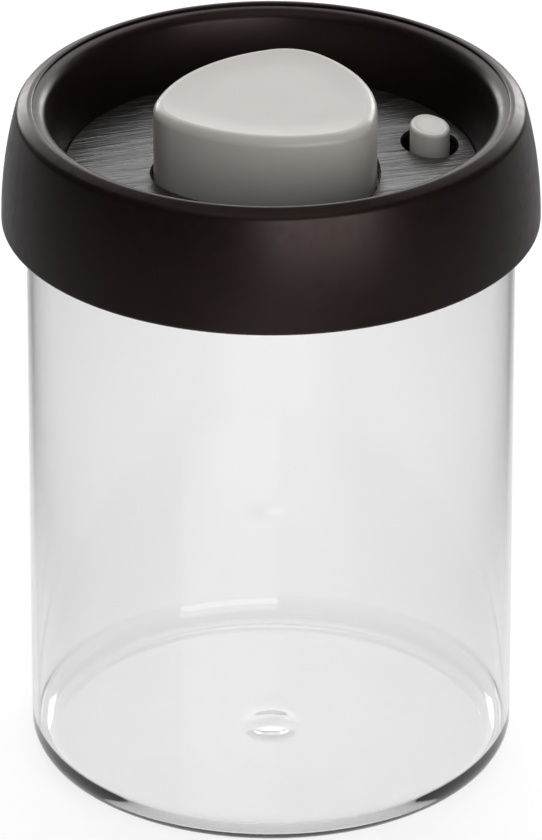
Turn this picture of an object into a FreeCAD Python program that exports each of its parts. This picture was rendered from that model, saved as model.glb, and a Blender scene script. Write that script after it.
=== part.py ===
# Vacuum seal canister: a straight glass jar under a dished lid. The lid holds a press pump with a
# rounded triangular button and an oval release button. All sizes are in millimetres, Z is up, the
# jar stands on Z = 0, and +X runs from the lid's middle through the release button.
import FreeCAD, Part
import math
import operator
import os
import Sketcher
from types import SimpleNamespace

SIZES = [
    # glass jar
    ("jar_height", 125.4, "height of the glass, which the lid's gasket sits on"),
    ("jar_wall", 2.2, "thickness of the glass wall"),
    ("jar_floor", 2, "thickness of the glass floor at its edge"),
    ("jar_corner", 5.5, "outside radius where wall meets floor"),
    ("jar_inner_corner", 4, "inside radius where wall meets floor"),
    ("jar_rim_round", 0.7, "rounding of the fire-polished rim"),
    ("punt_inset", 18, "distance of the hollow under the floor from the glass's outside"),
    ("punt_height", 0.9, "depth of the hollow under the floor"),
    ("pip_od", 9, "diameter of the pip in the middle of the floor"),
    ("pip_height", 1.1, "height of the pip"),
    # outer lid
    ("lid_fit", 0.7, "gap between outer and inner lid at the lower edge"),
    ("lid_height", 25.25, "height of the lid from lower edge to the dish's rolled edge"),
    ("lid_drop", 5.7, "how far the lid hangs below the glass rim"),
    ("wall_bow", 90, "radius of the bowed outer wall"),
    ("edge_round", 0.8, "rounding of the lower edge"),
    ("rim_round", 2.2, "rounding of the outer shoulder"),
    ("rim_width", 6.5, "reach of the crest and its shoulder past the dish"),
    ("rim_roll", 3, "rounding from the crest into the dish"),
    ("ridge_round", 1, "rounding of the ridge along the crest"),
    ("ridge_rise", 0.6, "height of the ridge above the dish's rolled edge"),
    ("ridge_inset", 0.65, "distance of the ridge from the dish's rolled edge"),
    ("rim_depth", 4.6, "solid depth under the crest"),
    ("dish_lean", 6.3, "how far the dish's wall leans out on its way up"),
    ("dish_land", 2.48, "disc left between the oval hole and the dish's wall"),
    ("shell_wall", 2, "wall of the outer lid"),
    ("deck_thickness", 1.8, "thickness of the deck under the inlay"),
    # inlay
    ("inlay_thickness", 1.2, "thickness of the wood-grain disc"),
    ("inlay_gap", 0.15, "gap round the wood-grain disc"),
    ("adhesive_thickness", 0.2, "thickness of the adhesive sheet"),
    ("adhesive_inset", 1, "how far the adhesive stays inside the disc's edges"),
    # pump button
    ("pump_side", 22.4, "spacing of the three corner centres"),
    ("pump_corner", 11.5, "radius of the three corners"),
    ("pump_rise", 15.4, "height of the button above the inlay"),
    ("pump_round", 2, "rounding of the top edge"),
    ("pump_dish_lean", 4.5, "width of the slope round the dished top"),
    ("pump_dish_depth", 0.6, "depth of the dished top"),
    ("pump_wall", 1.8, "wall of the button"),
    ("pump_ceiling", 2.2, "thickness of the button's top"),
    ("pump_gap", 0.5, "gap between button and deck"),
    ("pump_moat", 0.9, "gap between button and inlay"),
    ("pump_lip_width", 1.2, "reach of the stop lip under the deck"),
    ("pump_lip_thickness", 1.4, "thickness of the stop lip"),
    ("pump_stop_gap", 0.15, "gap between stop lip and deck at rest"),
    ("pump_stroke", 10, "travel of the pump button"),
    ("stroke_gap", 0.6, "space left under the stop lip at full stroke"),
    ("stem_od", 9, "diameter of the pump stem"),
    ("seat_ring_gap", 0.55, "gap between the spring and the ring that holds its upper end"),
    ("seat_ring_wall", 1.2, "wall of that ring"),
    ("seat_ring_height", 2.5, "height of that ring"),
    # pump cylinder
    ("cylinder_gap", 0.85, "gap between pump cylinder and spring"),
    ("cylinder_wall", 1.6, "wall of the pump cylinder"),
    ("cylinder_top_gap", 0.6, "how far the cylinder stops below the deck"),
    ("cylinder_depth", 17.2, "depth of the bore"),
    ("cylinder_floor", 1.8, "floor of the bore"),
    ("well_gap", 0.7, "gap between stop lip and well"),
    ("well_wall", 1.6, "wall of the well that the button drops into"),
    ("well_floor", 1.6, "floor of the well"),
    ("collar_width", 2.2, "reach of the collar that the deck clamps"),
    ("collar_thickness", 1.4, "thickness of the collar"),
    ("valve_hole_gap", 0.3, "gap round the valve's stem"),
    ("flow_hole_od", 2.2, "air holes round the valve's stem"),
    ("flow_land", 1, "floor left between the stem's hole and the air holes"),
    ("flow_count", 6, "number of air holes"),
    # inner lid
    ("base_flange", 1.6, "inner lid over the glass rim"),
    ("base_plate", 2.4, "plate of the inner lid"),
    ("skirt_gap", 0.5, "gap between inner lid and glass"),
    ("base_skirt_wall", 1.8, "wall of the inner lid's skirt"),
    ("skirt_inset", 0.6, "how far the inner skirt stops above the lower edge"),
    ("plug_gap", 1.8, "gap between plug ring and glass, where the gasket sits"),
    ("plug_wall", 1.8, "wall of the plug ring"),
    ("plug_depth", 9.6, "depth of the plug ring"),
    ("bead_width", 0.7, "reach of the bead that keeps the gasket on"),
    ("bead_height", 1.2, "height of that bead"),
    ("well_fit", 0.3, "gap between well and inner lid"),
    ("collar_fit", 0.2, "gap round the collar"),
    ("seat_width", 1.6, "wall outside the collar's seat"),
    ("seat_depth", 2, "depth of the collar's seat below the plate"),
    ("cord_width", 1, "width of the seal cord under the collar"),
    ("cord_height", 1, "height of that cord"),
    ("cord_inset", 0.8, "distance of the cord from the well"),
    ("cord_gap", 0.05, "gap beside the cord"),
    # gasket
    ("gasket_flange", 1.4, "gasket between glass rim and inner lid"),
    ("gasket_wall", 0.9, "wall of the gasket's sleeve"),
    ("gasket_ease", 0.05, "gap between gasket and plug ring"),
    ("gasket_edge", 0.4, "how far the gasket stays inside the glass"),
    ("gasket_lip", 0.55, "reach of the gasket's lips"),
    ("gasket_lip_width", 0.9, "width of the gasket's lips"),
    ("gasket_lip_low", 1.4, "height of the lower lip above the bead"),
    ("gasket_lip_high", 4.2, "height of the upper lip above the bead"),
    # release button
    ("button_land", 9.05, "distance between the two buttons"),
    ("release_width", 7.9, "width of the oval button"),
    ("release_length", 11.3, "length of the oval button"),
    ("release_end_radius", 2.75, "radius of the oval's ends"),
    ("release_rise", 4.1, "height of the oval button above the inlay"),
    ("release_round", 0.8, "rounding of the button's top edge"),
    ("release_dish_edge", 0.8, "rim left beside the dished top"),
    ("release_dish_depth", 0.25, "depth of the dished top"),
    ("release_moat", 1.8, "gap between oval button and inlay"),
    ("release_deck_gap", 1.7, "gap between oval button and the deck's upper edge"),
    ("release_cup_gap", 0.95, "gap between oval button and its cup"),
    ("release_travel", 2.5, "travel of the release button"),
    ("release_cup_depth", 4.2, "depth of the oval cup in the inner lid"),
    ("release_cup_wall", 1.4, "wall of the oval cup"),
    ("release_cup_floor", 1.6, "floor of the oval cup"),
    ("wing_gap", 0.5, "space under the oval head at full travel"),
    ("shank_gap", 0.3, "gap round the button's shank"),
    ("guide_depth", 10.6, "depth of the shank's guide"),
    ("guide_wall", 1.4, "wall of the guide"),
    ("guide_floor", 1.6, "floor of the guide, which the seal closes from below"),
    ("shank_end_gap", 0.7, "space under the shank at full travel"),
    ("port_gap", 0.7, "gap between the stem and the air port in the guide's floor"),
    ("shank_wall", 0.9, "wall of the shank round its spring"),
    ("cavity_depth", 9, "depth of the shank's bore"),
    ("release_stem_od", 2.8, "diameter of the release stem"),
    ("release_stem_grip", 3.5, "length of stem held in the button"),
    ("stem_ease", 0.02, "gap between stem and the pieces pressed on it"),
    ("seal_reach", 1.6, "how far the release seal reaches past the port"),
    ("seal_thickness", 1.8, "thickness of the release seal"),
    ("barb_reach", 0.6, "reach of the stem's barb under the seal"),
    ("barb_height", 1.1, "height of the stem's barb"),
    # springs
    ("pump_coil_gap", 0.92, "gap between the pump spring and the button's wall"),
    ("pump_wire", 1.8, "wire of the pump spring"),
    ("pump_turns", 6.5, "turns of the pump spring"),
    ("release_wire", 0.5, "wire of the release spring"),
    ("release_turns", 7, "turns of the release spring"),
    ("spring_seat_gap", 0.02, "gap between a spring's end and its seat"),
    ("closed_coil_gap", 0.55, "gap inside a spring's closed end turns"),
    # piston
    ("piston_gap", 0.4, "space between piston and valve at full stroke"),
    ("piston_head_gap", 2, "gap between the piston's plate and the bore"),
    ("piston_head_thickness", 1.6, "thickness of the piston's plate"),
    ("cup_base", 1.5, "base of the piston's cup seal"),
    ("cup_height", 3, "height of the cup seal's lip"),
    ("cup_lip_wall", 0.9, "wall of the cup seal's lip"),
    ("cup_flare", 0.7, "how much wider the lip is at its top"),
    ("bore_gap", 0.3, "gap between lip and bore, which the silicone closes"),
    ("washer_gap", 5, "gap between the bore and the washer under the cup seal"),
    ("washer_thickness", 0.8, "thickness of that washer"),
    ("screw_ease", 0.05, "gap round a screw's shank"),
    ("piston_screw_od", 2.9, "shank of the piston's screw"),
    ("piston_screw_head_od", 5.6, "head of the piston's screw"),
    ("piston_screw_head", 1.6, "height of that head"),
    ("piston_screw_grip", 7, "length of screw in the stem"),
    ("pilot_spare", 1, "depth of a screw hole past the screw"),
    ("drive_od", 2.2, "diameter of a screw's drive hole"),
    ("drive_depth", 0.9, "depth of a screw's drive hole"),
    # inlet valve
    ("valve_cover", 1.3, "how far the umbrella valve reaches past the air holes"),
    ("valve_rise", 0.9, "height of the umbrella valve"),
    ("valve_edge", 0.5, "thickness of the umbrella's edge"),
    ("valve_stem_od", 2.8, "stem of the umbrella valve"),
    ("valve_bulb_reach", 1, "reach of the bulb that keeps the valve in"),
    ("valve_bulb_height", 2.6, "height of that bulb"),
    # deck screws
    ("screw_count", 4, "number of deck screws"),
    ("screw_turn_angle", 45, "where the first deck screw sits, in degrees"),
    ("screw_od", 2.9, "shank of a deck screw"),
    ("screw_head_od", 5.4, "head of a deck screw"),
    ("screw_head_edge", 0.2, "straight edge of the countersunk head"),
    ("screw_length", 8, "length of a deck screw"),
    ("screw_head_gap", 0.1, "gap round a deck screw's head"),
    ("boss_wall", 1.75, "wall of the bosses that take the deck screws"),
    ("boss_gap", 3.2, "gap between a boss and the plug ring"),
    ("boss_depth", 6.5, "depth of those bosses below the plate"),
    # cuts
    ("overrun", 1, "how far a cut runs past the face it opens"),
]

TRIANGLE_TURNS = (180, 300, 60)
CORNER_HALF_TURN = 30
TINY = 1e-9
DIGITS = 12


class Size:
    """A number together with the sheet expression that it comes from."""

    def __init__(self, value, text):
        self.value = value
        self.text = text

    def __add__(self, other):
        return combine(self, other, operator.add, "+")

    def __radd__(self, other):
        return combine(other, self, operator.add, "+")

    def __sub__(self, other):
        return combine(self, other, operator.sub, "-")

    def __rsub__(self, other):
        return combine(other, self, operator.sub, "-")

    def __mul__(self, other):
        return combine(self, other, operator.mul, "*")

    def __rmul__(self, other):
        return combine(other, self, operator.mul, "*")

    def __truediv__(self, other):
        return combine(self, other, operator.truediv, "/")


def as_size(item):
    if isinstance(item, Size):
        return item
    return Size(float(item), f"{item}")


def combine(left, right, action, sign):
    first = as_size(left)
    second = as_size(right)
    return Size(action(first.value, second.value), f"({first.text} {sign} {second.text})")


def root(item):
    return Size(math.sqrt(item.value), f"sqrt({item.text})")


def square(item):
    return item * item


NIL = Size(0.0, "0")

# The document and its sheet of driving sizes.
doc = FreeCAD.newDocument("vacuum_canister")
sheet = doc.addObject("Spreadsheet::Sheet", "Sheet")
for row, (alias, value, note) in enumerate(SIZES, start=1):
    sheet.set(f"A{row}", alias)
    sheet.set(f"B{row}", str(value))
    sheet.setAlias(f"B{row}", alias)
    sheet.set(f"C{row}", note)
doc.recompute()
size = SimpleNamespace(**{
    alias: Size(float(sheet.get(alias)), f"Sheet.{alias}") for alias, _, _ in SIZES
})

bodies = []


def new_body(label):
    body = doc.addObject("PartDesign::Body", label)
    body.Label = label
    bodies.append(body)
    return body


def pin(sketch, geometry, point, axis, place):
    """Tie one coordinate of a sketch point to its expression."""
    if abs(place.value) < TINY:
        line = -2 if axis == "X" else -1
        sketch.addConstraint(Sketcher.Constraint("PointOnObject", geometry, point, line))
        return
    kind = f"Distance{axis}"
    if place.value > 0:
        rule = Sketcher.Constraint(kind, -1, 1, geometry, point, place.value)
        text = place.text
    else:
        rule = Sketcher.Constraint(kind, geometry, point, -1, 1, -place.value)
        text = f"-({place.text})"
    name_rule(sketch, rule, text)


def name_rule(sketch, rule, text):
    index = sketch.addConstraint(rule)
    sketch.renameConstraint(index, f"rule_{index}")
    sketch.setExpression(f"Constraints.rule_{index}", text)


def arc_between(start, end, radius, turn):
    """The shorter arc from start to end; turn is +1 for counter-clockwise."""
    chord = end - start
    half = chord.Length / 2
    left = FreeCAD.Vector(-chord.y, chord.x, 0) / chord.Length
    centre = (start + end) / 2 + left * (turn * math.sqrt(max(radius ** 2 - half ** 2, 0)))
    circle = Part.Circle(centre, FreeCAD.Vector(0, 0, 1), radius)
    first, last = (start, end) if turn > 0 else (end, start)
    low = math.atan2(first.y - centre.y, first.x - centre.x)
    high = math.atan2(last.y - centre.y, last.x - centre.x)
    if high < low:
        high += 2 * math.pi
    return Part.ArcOfCircle(circle, low, high)


def add_loop(sketch, corners):
    """A closed loop. A corner is (x, y), or (x, y, radius, turn) where an arc arrives at it."""
    base = sketch.GeometryCount
    ends = []
    for index, corner in enumerate(corners):
        before = corners[index - 1]
        start = FreeCAD.Vector(before[0].value, before[1].value, 0)
        end = FreeCAD.Vector(corner[0].value, corner[1].value, 0)
        if len(corner) == 2:
            sketch.addGeometry(Part.LineSegment(start, end))
            ends.append((1, 2))
        else:
            sketch.addGeometry(arc_between(start, end, corner[2].value, corner[3]))
            ends.append((1, 2) if corner[3] > 0 else (2, 1))
    for index, corner in enumerate(corners):
        after = (index + 1) % len(corners)
        sketch.addConstraint(Sketcher.Constraint(
            "Coincident", base + index, ends[index][1], base + after, ends[after][0]))
        pin(sketch, base + index, ends[index][1], "X", corner[0])
        pin(sketch, base + index, ends[index][1], "Y", corner[1])
        if len(corner) == 4:
            rule = Sketcher.Constraint("Radius", base + index, corner[2].value)
            name_rule(sketch, rule, corner[2].text)


def add_circle(sketch, x, y, radius):
    centre = FreeCAD.Vector(x.value, y.value, 0)
    index = sketch.addGeometry(Part.Circle(centre, FreeCAD.Vector(0, 0, 1), radius.value))
    pin(sketch, index, 3, "X", x)
    pin(sketch, index, 3, "Y", y)
    name_rule(sketch, Sketcher.Constraint("Radius", index, radius.value), radius.text)


def draw(body, name, role, loops, lift=NIL):
    """A sketch on one of the body's own planes. A loop that is a tuple is a circle (x, y, radius)."""
    sketch = body.newObject("Sketcher::SketchObject", name)
    plane = next(item for item in body.Origin.OriginFeatures if item.Role == role)
    sketch.AttachmentSupport = (plane, [""])
    sketch.MapMode = "FlatFace"
    if lift is not NIL:
        sketch.AttachmentOffset = FreeCAD.Placement(
            FreeCAD.Vector(0, 0, lift.value), FreeCAD.Rotation())
        sketch.setExpression("AttachmentOffset.Base.z", lift.text)
    for loop in loops:
        if isinstance(loop, tuple):
            add_circle(sketch, *loop)
        else:
            add_loop(sketch, loop)
    sketch.Visibility = False
    return sketch


def check_step(feature):
    doc.recompute()
    if "Invalid" in feature.State or feature.Shape.isNull():
        raise RuntimeError(f"{feature.Label} could not be made")
    return feature


def revolve(body, name, corners, kind="Revolution", axis="V_Axis"):
    sketch = draw(body, f"{name}_profile", "XZ_Plane", [corners])
    feature = body.newObject(f"PartDesign::{kind}", name)
    feature.Profile = sketch
    feature.ReferenceAxis = (sketch, [axis])
    feature.Angle = 360
    return check_step(feature)


def pad(body, name, loops, low, high):
    feature = body.newObject("PartDesign::Pad", name)
    feature.Profile = draw(body, f"{name}_profile", "XY_Plane", loops, low)
    length = high - low
    feature.Length = length.value
    feature.setExpression("Length", length.text)
    return check_step(feature)


def cut(body, name, loops, low, high):
    before = body.Shape.Volume
    feature = body.newObject("PartDesign::Pocket", name)
    feature.Profile = draw(body, f"{name}_profile", "XY_Plane", loops, high)
    length = high - low
    feature.Length = length.value
    feature.setExpression("Length", length.text)
    check_step(feature)
    if body.Shape.Volume > before - TINY:
        raise RuntimeError(f"{name} removed nothing")
    return feature


def loft(body, name, kind, sections):
    """A loft through (loops, height) pairs, lowest first."""
    sketches = []
    for index, (loop, height) in enumerate(sections):
        sketches.append(draw(body, f"{name}_{index}", "XY_Plane", [loop], height))
    feature = body.newObject(f"PartDesign::{kind}", name)
    feature.Profile = sketches[0]
    feature.Sections = sketches[1:]
    feature.Ruled = True
    return check_step(feature)


def fillet_at(body, name, height, radius):
    """Round every edge of the body that lies flat at one height."""
    base = body.Tip
    flat = []
    for index, edge in enumerate(base.Shape.Edges, start=1):
        box = edge.BoundBox
        if abs(box.ZMin - height.value) < radius.value / 100 and box.ZLength < radius.value / 100:
            flat.append(f"Edge{index}")
    feature = body.newObject("PartDesign::Fillet", name)
    feature.Base = (base, flat)
    feature.Radius = radius.value
    feature.setExpression("Radius", radius.text)
    return check_step(feature)


def place_at(body, x):
    body.Placement = FreeCAD.Placement(FreeCAD.Vector(x.value, 0, 0), FreeCAD.Rotation())
    body.setExpression("Placement.Base.x", x.text)


def triangle(grow):
    """The pump button's outline, grown outwards: three corner arcs and three bowed sides."""
    reach = size.pump_side / math.sqrt(3)
    corner = size.pump_corner + grow
    side = size.pump_side + corner
    loop = []
    for turn in TRIANGLE_TURNS:
        middle = math.radians(turn)
        for away, radius in ((-CORNER_HALF_TURN, side), (CORNER_HALF_TURN, corner)):
            angle = math.radians(turn + away)
            x = reach * round(math.cos(middle), DIGITS) + corner * round(math.cos(angle), DIGITS)
            y = reach * round(math.sin(middle), DIGITS) + corner * round(math.sin(angle), DIGITS)
            loop.append((x, y, radius, 1))
    return loop


def oval(x, grow):
    """The release button's outline, grown outwards: four arcs, long across X."""
    half_width = size.release_width / 2
    half_length = size.release_length / 2
    end = size.release_end_radius
    rise = half_length - end
    top = square(half_width) + square(rise) - square(end)
    side = top / (2 * (half_width - end))
    back = side - half_width
    share = (side + grow) / (side - end)
    corner_x = back * share - back
    corner_y = rise * share
    return [
        (x + corner_x, NIL - corner_y, end + grow, 1),
        (x + corner_x, corner_y, side + grow, 1),
        (x - corner_x, corner_y, end + grow, 1),
        (x - corner_x, NIL - corner_y, side + grow, 1),
    ]


def ring_of(count, first_turn, radius):
    """Centres spaced evenly round the Z axis."""
    spots = []
    for index in range(int(count.value)):
        angle = math.radians(first_turn.value + index * 360 / count.value)
        spots.append((radius * round(math.cos(angle), DIGITS), radius * round(math.sin(angle), DIGITS)))
    return spots


# Sizes across, worked out from the pump outwards: the two buttons set the dish, the dish sets the
# lid, and the lid sets the glass.
pump_flat = size.pump_corner + size.pump_side - size.pump_side / math.sqrt(3)
release_place = pump_flat + size.button_land + size.release_width / 2
recess = release_place + size.release_width / 2 + size.release_moat + size.dish_land
crest_bore = recess + size.dish_lean
lid_outer = crest_bore + size.rim_width
skirt_out = lid_outer - size.shell_wall - size.lid_fit
skirt_in = skirt_out - size.base_skirt_wall
jar_outer = skirt_in - size.skirt_gap
jar_inner = jar_outer - size.jar_wall
plug_outer = jar_inner - size.plug_gap
plug_inside = plug_outer - size.plug_wall
boss_radius = size.screw_od / 2 + size.boss_wall
screw_radius = plug_inside - size.boss_gap - boss_radius

# The pump's inner pieces fill the button from its wall inwards.
coil_outer = pump_flat - size.pump_wall - size.pump_coil_gap
coil_radius = coil_outer - size.pump_wire / 2
coil_inner = coil_radius - size.pump_wire / 2
cylinder_outer = coil_inner - size.cylinder_gap
bore_radius = cylinder_outer - size.cylinder_wall
seat_ring = coil_inner - size.seat_ring_gap
valve_stem = size.valve_stem_od / 2
valve_hole = valve_stem + size.valve_hole_gap
flow_hole = size.flow_hole_od / 2
flow_radius = valve_hole + size.flow_land + flow_hole
valve_bulb = valve_stem + size.valve_bulb_reach
valve_outer = flow_radius + flow_hole + size.valve_cover

# The release spring sits half way between its stem and the shank round it.
release_stem = size.release_stem_od / 2
shank_radius = size.release_width / 2
cavity_radius = shank_radius - size.shank_wall
release_coil = (release_stem + cavity_radius) / 2
port_radius = release_stem + size.port_gap

# Heights that several pieces share.
deck_under = size.jar_height + size.gasket_flange + size.base_flange
deck_top = deck_under + size.deck_thickness
inlay_under = deck_top + size.adhesive_thickness
inlay_top = inlay_under + size.inlay_thickness
lid_bottom = size.jar_height - size.lid_drop
lid_crest = lid_bottom + size.lid_height
pump_top = inlay_top + size.pump_rise
pump_ceiling_z = pump_top - size.pump_ceiling
lip_top = deck_under - size.pump_stop_gap
lip_under = lip_top - size.pump_lip_thickness
well_floor_z = lip_under - size.pump_stroke - size.stroke_gap
cylinder_top = deck_under - size.cylinder_top_gap
bore_floor = cylinder_top - size.cylinder_depth
screw_head_under = bore_floor + size.valve_rise + size.piston_gap + size.pump_stroke
washer_under = screw_head_under + size.piston_screw_head
cup_under = washer_under + size.washer_thickness
plate_under = cup_under + size.cup_base
stem_end = plate_under + size.piston_head_thickness
base_under = deck_under - size.base_plate
collar_under = deck_under - size.collar_thickness
seat_under = base_under - size.seat_depth
plug_end = size.jar_height + size.gasket_flange - size.plug_depth
bead_top = plug_end + size.bead_height
release_top = inlay_top + size.release_rise
cup_floor_z = deck_under - size.release_cup_depth
wing_under = cup_floor_z + size.wing_gap + size.release_travel
guide_floor_z = deck_under - size.guide_depth
guide_end = guide_floor_z - size.guide_floor
shank_end = guide_floor_z + size.shank_end_gap + size.release_travel
cavity_top = shank_end + size.cavity_depth
grip_top = cavity_top + size.release_stem_grip
seal_under = guide_end - size.seal_thickness
barb_end = seal_under - size.barb_height

# Outlines that several pieces share.
well_grow = size.pump_lip_width + size.well_gap
well_outer = well_grow + size.well_wall
collar_grow = well_outer + size.collar_width
cord_grow = well_outer + size.cord_inset
screw_spots = ring_of(size.screw_count, size.screw_turn_angle, screw_radius)


def make_glass_jar():
    body = new_body("glass_jar")
    outer = jar_outer
    inner = jar_inner
    punt = outer - size.punt_inset
    punt_radius = (square(punt) + square(size.punt_height)) / (2 * size.punt_height)
    pip = size.pip_od / 2
    pip_radius = (square(pip) + square(size.pip_height)) / (2 * size.pip_height)
    shoulder = size.jar_height - size.jar_rim_round
    revolve(body, "jar_turned", [
        (NIL, size.punt_height),
        (punt, NIL, punt_radius, -1),
        (outer - size.jar_corner, NIL),
        (outer, size.jar_corner, size.jar_corner, 1),
        (outer, shoulder),
        (outer - size.jar_rim_round, size.jar_height, size.jar_rim_round, 1),
        (inner + size.jar_rim_round, size.jar_height),
        (inner, shoulder, size.jar_rim_round, 1),
        (inner, size.jar_floor + size.jar_inner_corner),
        (inner - size.jar_inner_corner, size.jar_floor, size.jar_inner_corner, -1),
        (pip, size.jar_floor),
        (NIL, size.jar_floor + size.pip_height, pip_radius, 1),
    ])


def make_lid_shell():
    body = new_body("lid_shell")
    outer = lid_outer
    bow_x = outer - size.wall_bow
    bow_z = lid_bottom + size.edge_round
    # The shoulder's centre lies inside the bowed wall, a rounding below the crest.
    inside = size.wall_bow - size.rim_round
    shoulder_z = lid_crest - size.rim_round
    shoulder_x = bow_x + root(square(inside) - square(shoulder_z - bow_z))
    reach = size.wall_bow / inside
    wall_end_x = bow_x + (shoulder_x - bow_x) * reach
    wall_end_z = bow_z + (shoulder_z - bow_z) * reach
    # The ridge stands beside the dish's rolled edge, and one line touches both ridge and shoulder.
    ridge_x = crest_bore + size.ridge_inset
    ridge_z = lid_crest + size.ridge_rise - size.ridge_round
    apart_x = ridge_x - shoulder_x
    apart_z = ridge_z - shoulder_z
    apart = square(apart_x) + square(apart_z)
    taper = size.rim_round - size.ridge_round
    run = root(apart - square(taper))
    lean_x = (taper * apart_x + run * apart_z) / apart
    lean_z = (taper * apart_z - run * apart_x) / apart
    ridge_end = ridge_z + root(square(size.ridge_round) - square(size.ridge_inset))
    # The dish's wall leaves the roll where a line from the inlay's edge touches it.
    roll_z = lid_crest - size.rim_roll
    across = crest_bore - recess
    up = roll_z - inlay_top
    far = square(across) + square(up)
    touch = root(far - square(size.rim_roll))
    touch_x = recess + touch / far * (touch * across - size.rim_roll * up)
    touch_z = inlay_top + touch / far * (touch * up + size.rim_roll * across)
    # The hollow between the dish and the outer wall.
    hollow_z = lid_crest - size.rim_depth
    slope = (touch_x - recess) / (touch_z - inlay_top)
    hollow_in = recess + size.shell_wall + slope * (hollow_z - inlay_top)
    bow_inside = size.wall_bow - size.shell_wall
    hollow_out = bow_x + root(square(bow_inside) - square(hollow_z - bow_z))
    revolve(body, "shell_turned", [
        (NIL, deck_under),
        (recess + size.shell_wall, deck_under),
        (recess + size.shell_wall, inlay_top),
        (hollow_in, hollow_z),
        (hollow_out, hollow_z),
        (outer - size.shell_wall, bow_z, bow_inside, -1),
        (outer - size.shell_wall, lid_bottom),
        (outer - size.edge_round, lid_bottom),
        (outer, bow_z, size.edge_round, 1),
        (wall_end_x, wall_end_z, size.wall_bow, 1),
        (shoulder_x + size.rim_round * lean_x, shoulder_z + size.rim_round * lean_z, size.rim_round, 1),
        (ridge_x + size.ridge_round * lean_x, ridge_z + size.ridge_round * lean_z),
        (crest_bore, ridge_end, size.ridge_round, 1),
        (crest_bore, lid_crest),
        (touch_x, touch_z, size.rim_roll, 1),
        (recess, inlay_top),
        (recess, deck_top),
        (NIL, deck_top),
    ])
    cut(body, "pump_hole", [triangle(size.pump_gap)], deck_under, deck_top)
    loft(body, "release_hole", "SubtractiveLoft", [
        (oval(release_place, size.release_cup_gap), deck_under),
        (oval(release_place, size.release_deck_gap), deck_top),
    ])
    shank = size.screw_od / 2 + size.screw_head_gap
    head = size.screw_head_od / 2 + size.screw_head_gap
    head_end = deck_top - size.screw_head_edge - (head - shank)
    straight = deck_top - size.screw_head_edge
    cut(body, "screw_holes", [(x, y, shank) for x, y in screw_spots], deck_under, deck_top)
    cut(body, "screw_heads", [(x, y, head) for x, y in screw_spots], straight, deck_top)
    for index, (x, y) in enumerate(screw_spots):
        loft_circles(body, f"countersink_{index}", x, y, (shank, head_end), (head, straight))


def loft_circles(body, name, x, y, low, high):
    sketches = []
    for index, (radius, height) in enumerate((low, high)):
        sketches.append(draw(body, f"{name}_{index}", "XY_Plane", [(x, y, radius)], height))
    feature = body.newObject("PartDesign::SubtractiveLoft", name)
    feature.Profile = sketches[0]
    feature.Sections = sketches[1:]
    return check_step(feature)


def make_inlay():
    body = new_body("inlay_disc")
    edge = recess - size.inlay_gap
    hole = triangle(size.pump_moat)
    gap = oval(release_place, size.release_moat)
    pad(body, "inlay_plate", [(NIL, NIL, edge), hole, gap], inlay_under, inlay_top)

    body = new_body("inlay_adhesive")
    edge = edge - size.adhesive_inset
    hole = triangle(size.pump_moat + size.adhesive_inset)
    gap = oval(release_place, size.release_moat + size.adhesive_inset)
    pad(body, "adhesive_sheet", [(NIL, NIL, edge), hole, gap], deck_top, inlay_under)


def make_lid_base():
    body = new_body("lid_base")
    bead = plug_outer + size.bead_width
    skirt_end = lid_bottom + size.skirt_inset
    flange_under = deck_under - size.base_flange
    revolve(body, "base_turned", [
        (NIL, base_under),
        (plug_inside, base_under),
        (plug_inside, plug_end),
        (bead, plug_end),
        (bead, bead_top),
        (plug_outer, bead_top),
        (plug_outer, flange_under),
        (skirt_in, flange_under),
        (skirt_in, skirt_end),
        (skirt_out, skirt_end),
        (skirt_out, deck_under),
        (NIL, deck_under),
    ])
    seat = collar_grow + size.collar_fit
    place = release_place
    shank = shank_radius + size.shank_gap
    pilot = size.screw_od / 2 + size.screw_ease
    boss_end = base_under - size.boss_depth
    pilot_end = deck_top - size.screw_length - size.pilot_spare
    cup_end = cup_floor_z - size.release_cup_floor
    cup_outer = size.release_cup_gap + size.release_cup_wall
    pad(body, "collar_seat", [triangle(seat + size.seat_width)], seat_under, base_under)
    pad(body, "release_cup", [oval(place, cup_outer)], cup_end, base_under)
    pad(body, "release_guide", [(place, NIL, shank + size.guide_wall)], guide_end, base_under)
    for index, (x, y) in enumerate(screw_spots):
        pad(body, f"screw_boss_{index}", [(x, y, boss_radius)], boss_end, base_under)
    cut(body, "well_hole", [triangle(well_outer + size.well_fit)],
        seat_under - size.overrun, deck_under)
    cut(body, "collar_recess", [triangle(seat)], collar_under, deck_under)
    cord_low = cord_grow - size.cord_gap
    cord_high = cord_grow + size.cord_width + size.cord_gap
    cut(body, "cord_groove", [triangle(cord_high), triangle(cord_low)],
        collar_under - size.cord_height, collar_under)
    cut(body, "cup_hollow", [oval(place, size.release_cup_gap)], cup_floor_z, deck_under)
    cut(body, "guide_bore", [(place, NIL, shank)], guide_floor_z, deck_under)
    cut(body, "air_port", [(place, NIL, port_radius)], guide_end - size.overrun, deck_under)
    cut(body, "screw_pilots", [(x, y, pilot) for x, y in screw_spots], pilot_end, deck_under)


def make_jar_gasket():
    body = new_body("jar_gasket")
    inner = plug_outer + size.gasket_ease
    outer = inner + size.gasket_wall
    top = size.jar_height + size.gasket_flange
    edge = jar_outer - size.gasket_edge
    half = size.gasket_lip_width / 2
    corners = [(inner, bead_top), (outer, bead_top)]
    for height in (size.gasket_lip_low, size.gasket_lip_high):
        middle = bead_top + height
        corners.append((outer, middle - half))
        corners.append((outer + size.gasket_lip, middle))
        corners.append((outer, middle + half))
    corners.append((outer, size.jar_height))
    corners.append((edge, size.jar_height))
    corners.append((edge, top))
    corners.append((inner, top))
    revolve(body, "gasket_turned", corners)


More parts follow.
